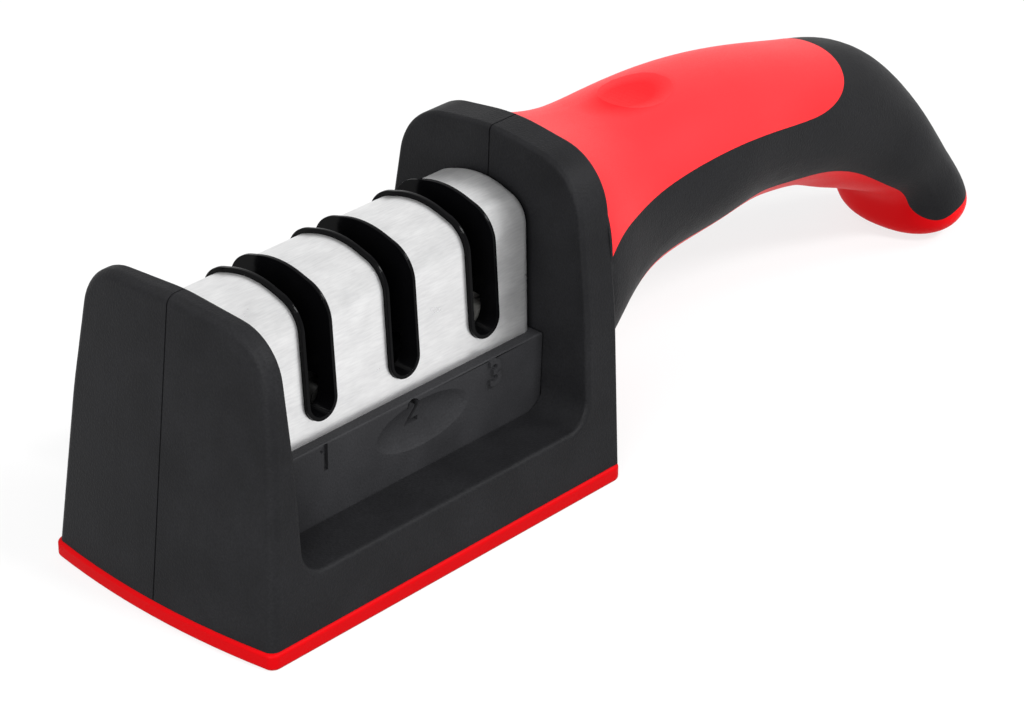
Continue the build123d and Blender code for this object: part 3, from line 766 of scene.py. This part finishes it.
@dataclass
class BodyShells(Assembly):
    """Left and right shell with the handle's hard skin, and the seam between them.

    Attributes:
        seam_width: Width of the groove at the seam.
        pillar_seam: Where the groove runs along the pillar.
        arch_seam: Where it runs along the arch.
        seam_rise: Where it starts and ends in height.
        flush_span: Part of the arch's side that is cut flush with the handle's root.
        flush_bottom: Where the flush cut starts, in height.
        flush_height: How far it goes up the side.
        flush_reach: How far it reaches out.
        side_place: The side's place along Y at the bottom of the cut.
        side_lean: How far the side leans in, in radians.
    """

    seam_width: float = 0.26 * MM
    pillar_seam: Span = (-44.0 * MM, -31.0 * MM)
    arch_seam: Span = (32.0 * MM, 41.3 * MM)
    seam_rise: Span = (3.1 * MM, 62.0 * MM)
    flush_span: Span = (38.0 * MM, 40.6 * MM)
    flush_bottom: float = 38.0 * MM
    flush_height: float = 10.0 * MM
    flush_reach: float = 1.0 * MM
    side_place: float = 22.015 * MM
    side_lean: float = math.radians(8.066)

    def build(self) -> None:
        """Build both shells."""
        for side in Side:
            node = f"{side.name.lower()}_shell"
            shell = copy_of_node(node, f"{node}_skin")
            for span in (self.pillar_seam, self.arch_seam):
                cut_with(shell, self.seam_slab(span))
            cut_with(shell, self.flush_slab(side))
            smooth(shell)
            self.join_frame(shell, "body", Finish.BLACK_BODY, node)

    def flush_slab(self, side: Side) -> bpy.types.Object:
        """Slab just outside the arch's side, which keeps the handle's root flush with it.

        Args:
            side: The side that it lies on.

        Returns:
            The slab, for use as a cutter.
        """
        cutter = slab(self.flush_span, (0.0, self.flush_reach), (0.0, self.flush_height))
        lean = Matrix.Rotation(self.side_lean, 4, "X")
        cutter.data.transform(Matrix.Translation((0.0, self.side_place, self.flush_bottom)) @ lean)
        if side is Side.RIGHT:
            cutter.data.transform(Matrix.Scale(side.value, 4, (0.0, 1.0, 0.0)))
            cutter.data.flip_normals()
        return cutter

    def seam_slab(self, span: Span) -> bpy.types.Object:
        """Thin upright slab on the seam plane, for use as a cutter."""
        return slab(span, (-self.seam_width / 2, self.seam_width / 2), self.seam_rise)


@dataclass
class Grips(Assembly):
    """Soft red pieces: the top grip with its thumb scoop, the underside grip and the sole.

    Attributes:
        scoop_place: Middle of the thumb scoop along X.
        scoop_radius: Radius of its hollow.
        scoop_depth: How deep it is.
        scoop_half_width: Half the length of the bar that hollows it.
        scoop_near: How far from its middle the grip's top is measured.
        scoop_facets: Facets round the bar.
    """

    scoop_place: float = 69.0 * MM
    scoop_radius: float = 45.0 * MM
    scoop_depth: float = 0.78 * MM
    scoop_half_width: float = 14.0 * MM
    scoop_near: float = 4.0 * MM
    scoop_facets: int = 256

    def build(self) -> None:
        """Build the three soft pieces."""
        for node, finish in (("top_grip", Finish.RED_GRIP), ("lower_grip", Finish.RED_GRIP),
                             ("sole", Finish.RED_SOLE)):
            piece = copy_of_node(node, f"{node}_skin")
            if node == "top_grip":
                cut_with(piece, self.scoop(piece))
            smooth(piece)
            self.join_frame(piece, "body", finish, node)

    def scoop(self, grip: bpy.types.Object) -> bpy.types.Object:
        """Round bar across the grip that hollows a shallow oval for the thumb.

        Args:
            grip: The grip that it cuts.

        Returns:
            The bar, for use as a cutter.
        """
        top = max(vertex.co.z for vertex in grip.data.vertices
                  if abs(vertex.co.x - self.scoop_place) < self.scoop_near)
        deselect_all()
        bpy.ops.mesh.primitive_cylinder_add(vertices=self.scoop_facets, radius=self.scoop_radius,
                                            depth=2 * self.scoop_half_width)
        bar = bpy.context.object
        middle = (self.scoop_place, 0.0, top + self.scoop_radius - self.scoop_depth)
        bar.data.transform(Matrix.Translation(middle) @ Matrix.Rotation(QUARTER_TURN, 4, "X"))
        return bar


# ---------------------------------------------------------------- cartridge

@dataclass
class Cartridge(Assembly):
    """Skirted housing, steel cover and glossy slot liners.

    Attributes:
        digit_height: Height of a stage number.
        digit_share: Height of a number, as a share of the lettering's size.
        digit_depth: How deep it is engraved.
        digit_base: Height of its foot.
        digit_shifts: How far each number stands from the middle of its slot.
        stroke_growth: How much its strokes are thickened.
        dished_digit: Number that stands in the thumb dish.
        dish_depth: Depth of the dish.
        flagged_digit: Number with a slanting stroke at its top.
        flag_size: Length and width of that stroke.
        flag_slant: Its slant, in radians.
        skirt_side: Place of the skirt's near side along Y.
        slot_floor: Height over which a liner's rim and a slot's edge are rounded.
        rim_rounding: Rounding of a liner's rim.
        rim_facets: Facets across it.
        steel_edge: Rounding of a slot's edge in the steel.
        steel_facets: Facets across it.
    """

    digit_height: float = 4.6 * MM
    digit_share: float = 0.7
    digit_depth: float = 0.6 * MM
    digit_base: float = 21.5 * MM
    digit_shifts: Triple = (-1.3 * MM, 0.0, 0.0)
    stroke_growth: float = 0.13 * MM
    dished_digit: int = 2
    dish_depth: float = 0.9 * MM
    flagged_digit: int = 1
    flag_size: Span = (1.5 * MM, 0.7 * MM)
    flag_slant: float = math.radians(35)
    skirt_side: float = -13.7 * MM
    slot_floor: float = 27.5 * MM
    rim_rounding: float = 0.22 * MM
    rim_facets: int = 3
    steel_edge: float = 0.1 * MM
    steel_facets: int = 2

    def build(self) -> None:
        """Build the visible pieces of the cartridge."""
        housing = copy_of_node("cartridge_housing", "housing_skin")
        for number, shift in enumerate(self.digit_shifts, start=1):
            low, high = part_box(f"slot_guide_{number}")
            middle = (low.x + high.x) / 2 + shift
            cut_with(housing, self.digit(number, middle))
            if number == self.flagged_digit:
                cut_with(housing, self.flag(middle))
        smooth(housing)
        # The skirt's lighter colour is painted light.
        self.join_frame(housing, "cartridge", Finish.SKIRT, "cartridge_housing")
        cover = copy_of_node("steel_cover", "steel_skin")
        round_folds(cover, self.above_skirt, self.steel_edge, self.steel_facets)
        smooth(cover)
        self.join_frame(cover, "cartridge", Finish.BRUSHED_COVER, "steel_cover")
        for number in range(1, len(self.digit_shifts) + 1):
            node = f"slot_guide_{number}"
            liner = copy_of_node(node, f"{node}_liner")
            round_folds(liner, self.above_skirt, self.rim_rounding, self.rim_facets)
            smooth(liner)
            self.join_frame(liner, "cartridge", Finish.GLOSS_LINER, node)

    def above_skirt(self, start: Vector, end: Vector) -> bool:
        """Whether an edge of a liner or of the steel lies above the skirt."""
        return min(start.z, end.z) > self.slot_floor

    def digit(self, number: int, x: float) -> bpy.types.Object:
        """Cutter of one engraved stage number on the skirt.

        Args:
            number: The stage number.
            x: Its middle along the skirt.

        Returns:
            A closed mesh that reaches into the skirt.
        """
        deselect_all()
        bpy.ops.object.text_add(location=(0, 0, 0))
        text = bpy.context.object
        text.data.body = str(number)
        text.data.align_x = "CENTER"
        text.data.size = self.digit_height / self.digit_share
        text.data.offset = self.stroke_growth
        text.data.extrude = self.digit_depth + (self.dish_depth if number == self.dished_digit else 0.0)
        bpy.ops.object.convert(target="MESH")
        text.data.transform(Matrix.Translation((x, self.skirt_side, self.digit_base))
                            @ Matrix.Rotation(QUARTER_TURN, 4, "X"))
        return text

    def flag(self, x: float) -> bpy.types.Object:
        """Cutter of the slanting stroke at the top of a number.

        Args:
            x: The number's middle along the skirt.

        Returns:
            The slab, for use as a cutter.
        """
        length, width = self.flag_size
        flag = slab((-length, 0.0), (-self.digit_depth, self.digit_depth), (-width, 0.0))
        flag.data.transform(Matrix.Translation((x, self.skirt_side, self.digit_base + self.digit_height))
                            @ Matrix.Rotation(-self.flag_slant, 4, "Y"))
        return flag


@dataclass
class InnerParts(Assembly):
    """CAD nodes that keep their shape and only take a finish."""

    def build(self) -> None:
        """Paint every CAD node that is still shown."""
        slots = {part["node"]: part["material_slot"] for part in frame["record"]["subparts"]}
        for node, piece in frame["nodes"].items():
            if not piece.hide_render:
                self.paints.paint(piece, Finish[slots[node].upper()])
                LOG.info("%s keeps its CAD shape", node)


# ---------------------------------------------------------------- studio

@dataclass(frozen=True)
class Viewpoint:
    """Camera place, given by the point that it looks at.

    Attributes:
        target: The point, in metres.
        azimuth: Turn round the object, in radians.
        elevation: Height over the ground, in radians.
        roll: Turn round the line of sight, in radians.
        distance: Distance from the point, in metres.
        focal_pixels: Focal length in pixels of the image.
        image_pixels: Width of the image in pixels.
        sensor_width: Width of the sensor in millimetres.
        nearest: Nearest distance that is seen, in metres.
    """

    target: Triple = (42.84 * MM, 2.25 * MM, 11.77 * MM)
    azimuth: float = math.radians(-47.09)
    elevation: float = math.radians(28.79)
    roll: float = math.radians(0.16)
    distance: float = 614.59 * MM
    focal_pixels: float = 3598.2
    image_pixels: int = 1024
    sensor_width: float = 36.0
    nearest: float = 10 * MM

    def place(self) -> None:
        """Add the camera and make it the scene's own."""
        data = bpy.data.cameras.new("camera")
        data.sensor_width = self.sensor_width
        data.lens = self.sensor_width * self.focal_pixels / self.image_pixels
        data.clip_start = self.nearest
        camera = bpy.data.objects.new("camera", data)
        bpy.context.scene.collection.objects.link(camera)
        back = Vector((math.sin(self.azimuth) * math.cos(self.elevation),
                       -math.cos(self.azimuth) * math.cos(self.elevation), math.sin(self.elevation)))
        right = Vector((math.cos(self.azimuth), math.sin(self.azimuth), 0.0))
        up = back.cross(right)
        turned_right = right * math.cos(self.roll) + up * math.sin(self.roll)
        turned_up = up * math.cos(self.roll) - right * math.sin(self.roll)
        turn = Matrix((turned_right, turned_up, back)).transposed().to_4x4()
        camera.matrix_world = Matrix.Translation(Vector(self.target) + back * self.distance) @ turn
        bpy.context.scene.camera = camera


@dataclass(frozen=True)
class Softbox:
    """Square studio lamp that points at the object.

    Attributes:
        name: Name of the lamp.
        direction: Where it hangs, seen from the object.
        distance: How far away it hangs, in metres.
        size: Side of the lamp, in metres.
        power: Power in watts.
        spares: Pieces that it doesn't light.
    """

    name: str
    direction: Triple
    distance: float
    size: float
    power: float
    spares: tuple[str, ...]

    def hang(self) -> None:
        """Add the lamp and keep its light off the pieces that it spares."""
        data = bpy.data.lights.new(self.name, "AREA")
        data.size = self.size
        data.energy = self.power
        lamp = bpy.data.objects.new(self.name, data)
        bpy.context.scene.collection.objects.link(lamp)
        middle = (Vector(CAD_BOX[0]) + Vector(CAD_BOX[1])) / 2
        away = Vector(self.direction).normalized()
        lamp.location = middle + away * self.distance
        lamp.rotation_euler = away.to_track_quat("Z", "Y").to_euler()
        group = bpy.data.collections.new(f"{self.name}_spares")
        lamp.light_linking.receiver_collection = group
        for name in self.spares:
            group.objects.link(bpy.data.objects[name])
        for link in group.collection_objects:
            link.light_linking.link_state = "EXCLUDE"


BRIGHT_PIECES = ("steel_skin", "diamond_wheel_front", "diamond_wheel_rear",
                 "ceramic_wheel_front", "ceramic_wheel_rear")


@dataclass(frozen=True)
class Studio:
    """Plain white studio: floor, soft lamps and an even world.

    Attributes:
        ambient: Strength of the world on matt surfaces; it is 1 to the eye and in reflections.
        floor_size: Side of the floor, in metres.
        floor_glow: The floor's own light, to the eye and in reflections.
        floor_bounce: Share of that light that reaches matt surfaces.
        floor_tone: Grey of the floor's own colour.
        floor_roughness: Roughness of the floor.
        lamps: The lamps.
    """

    ambient: float = 0.66
    floor_size: float = 6.0
    floor_glow: float = 0.74
    floor_bounce: float = 0.6
    floor_tone: float = 0.18
    floor_roughness: float = 0.9
    lamps: tuple[Softbox, ...] = (
        Softbox("key", (-0.42, 0.52, 0.74), 0.85, 0.4, 1.4, BRIGHT_PIECES),
        Softbox("edge", (0.62, -0.46, 0.62), 0.8, 0.2, 2.4, (*BRIGHT_PIECES, "top_grip_skin")),
        Softbox("front", (0.1, -0.7, 0.7), 0.85, 0.15, 6.5, BRIGHT_PIECES),
        Softbox("fill", (-0.85, -0.38, 0.36), 0.5, 0.3, 2.6, (*BRIGHT_PIECES, "lower_grip_skin")))

    def build(self) -> None:
        """Build the floor, the world and the lamps."""
        self.floor()
        self.world()
        for lamp in self.lamps:
            lamp.hang()
        bpy.context.scene.view_settings.view_transform = "Standard"

    def floor(self) -> None:
        """Pale floor that keeps the object's shadow."""
        deselect_all()
        bpy.ops.mesh.primitive_plane_add(size=self.floor_size)
        floor = bpy.context.object
        floor.name = "floor"
        sheet = NodeSheet("floor_paper")
        sheet.set(Base_Color=(self.floor_tone,) * 3, Roughness=self.floor_roughness, Specular_IOR_Level=0.0)
        light = sheet.tree.nodes.new("ShaderNodeEmission")
        path = sheet.tree.nodes.new("ShaderNodeLightPath")
        both = sheet.tree.nodes.new("ShaderNodeAddShader")
        light.inputs["Color"].default_value = (self.floor_glow, self.floor_glow, self.floor_glow, 1.0)
        seen = sheet.combine(path.outputs["Is Camera Ray"], path.outputs["Is Glossy Ray"], "MAXIMUM")
        sheet.join(sheet.spread(seen, (0.0, 1.0), (self.floor_bounce, 1.0)), light.inputs["Strength"])
        sheet.join(sheet.shader.outputs["BSDF"], both.inputs[0])
        sheet.join(light.outputs["Emission"], both.inputs[1])
        sheet.join(both.outputs["Shader"], sheet.output.inputs["Surface"])
        floor.data.materials.append(sheet.material)

    def world(self) -> None:
        """White world for the eye and for reflections, with a softer ambient light."""
        world = bpy.data.worlds.new("studio")
        bpy.context.scene.world = world
        world.use_nodes = True
        tree = world.node_tree
        tree.nodes.clear()
        output = tree.nodes.new("ShaderNodeOutputWorld")
        background = tree.nodes.new("ShaderNodeBackground")
        path = tree.nodes.new("ShaderNodeLightPath")
        seen = path.outputs["Is Camera Ray"]
        for name in ("Is Glossy Ray", "Is Transmission Ray"):
            either = tree.nodes.new("ShaderNodeMath")
            either.operation = "MAXIMUM"
            tree.links.new(seen, either.inputs[0])
            tree.links.new(path.outputs[name], either.inputs[1])
            seen = either.outputs["Value"]
        strength = tree.nodes.new("ShaderNodeMapRange")
        strength.inputs["To Min"].default_value = self.ambient
        strength.inputs["To Max"].default_value = 1.0
        tree.links.new(seen, strength.inputs["Value"])
        tree.links.new(strength.outputs["Result"], background.inputs["Strength"])
        background.inputs["Color"].default_value = (1.0, 1.0, 1.0, 1.0)
        tree.links.new(background.outputs["Background"], output.inputs["Surface"])


def main() -> None:
    """Build every sub-assembly in order."""
    logging.basicConfig(level=logging.INFO, format="%(message)s")
    Viewpoint().place()
    paints = Paintbox()
    BodyShells(paints).build()
    Grips(paints).build()
    Cartridge(paints).build()
    InnerParts(paints).build()
    Studio().build()


if __name__ == "__main__":
    main()
